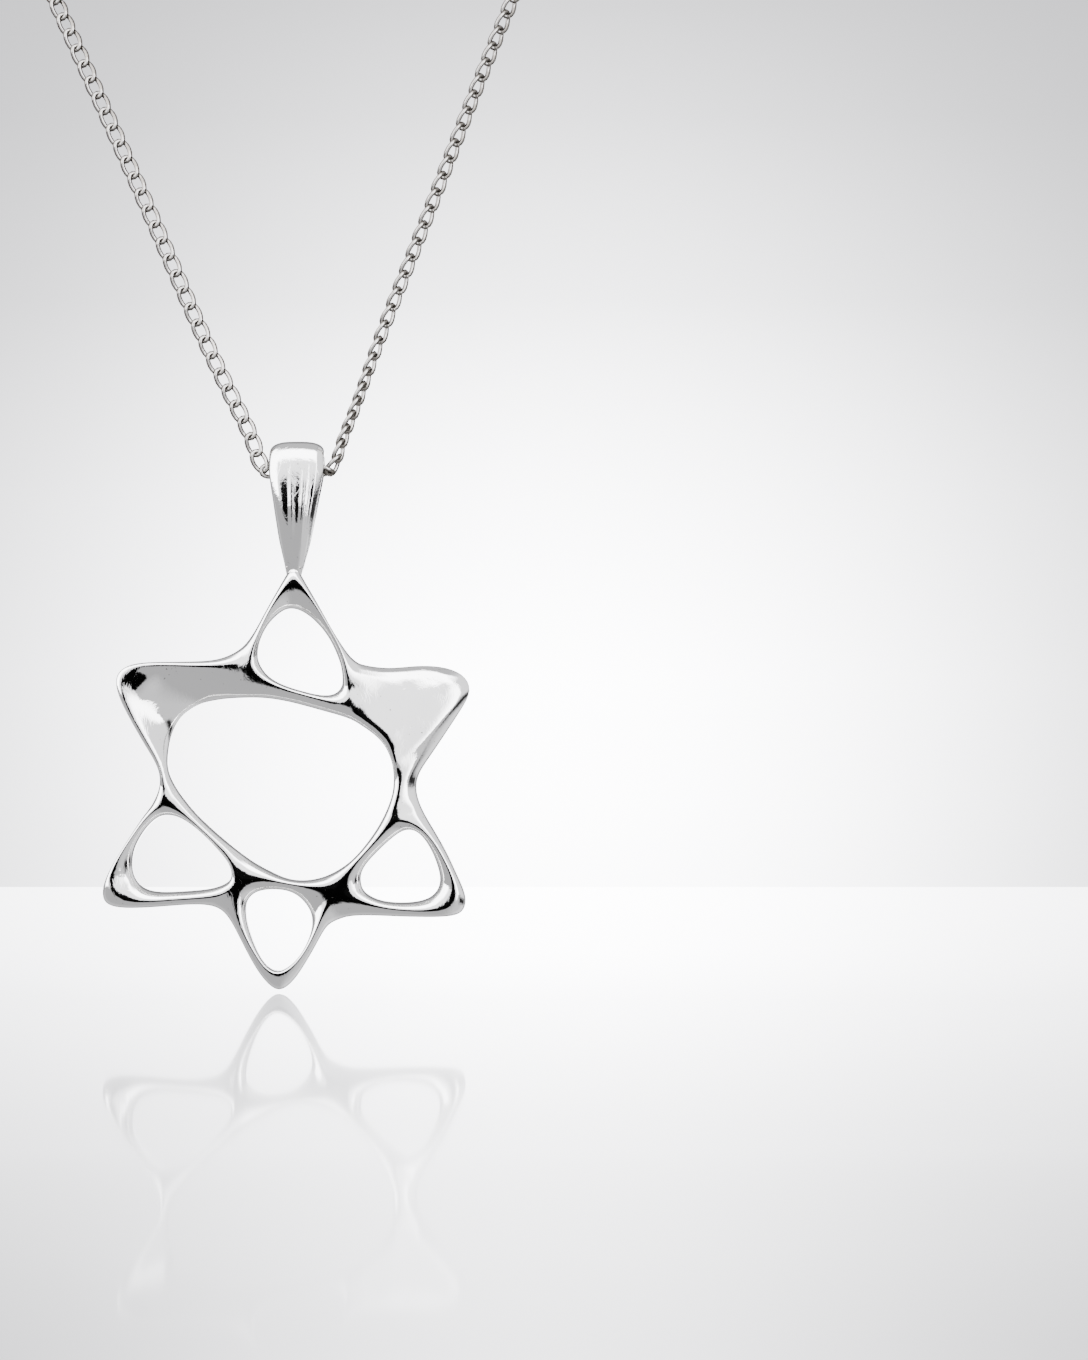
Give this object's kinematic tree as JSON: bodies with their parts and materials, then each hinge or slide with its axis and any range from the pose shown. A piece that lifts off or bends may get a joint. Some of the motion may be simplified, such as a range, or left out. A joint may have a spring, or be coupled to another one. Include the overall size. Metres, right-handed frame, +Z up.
{
  "type": "star of david pendant",
  "caption": "Freeform six-pointed star pendant, pierced at most of its points, soldered to a tapered strap bail that hangs on a fine curb chain with a ring clasp.",
  "frame": {"origin": "middle of the clasp at the nape, where the chain is worn", "axes": "+Z up, -Y front, the side that the star faces, +X to the right as seen from the front"},
  "size_m": [0.0998, 0.1087, 0.1894],
  "materials": {
    "star_silver": "high polish sterling silver",
    "chain_silver": "fine drawn silver wire, slightly dull between the links"
  },
  "bodies": {
    "chain": {"chain_left": "chain_silver", "chain_right": "chain_silver", "clasp": "chain_silver", "end_ring_left": "chain_silver", "end_ring_right": "chain_silver"},
    "pendant": {"star_and_bail": "star_silver"}
  },
  "joints": [
    {"name": "bail_swing", "type": "hinge", "parent": "chain", "child": "pendant", "pos_m": [0, -0.1045, -0.136], "axis": [1, 0, 0], "range_deg": [-60, 60]}
  ]
}
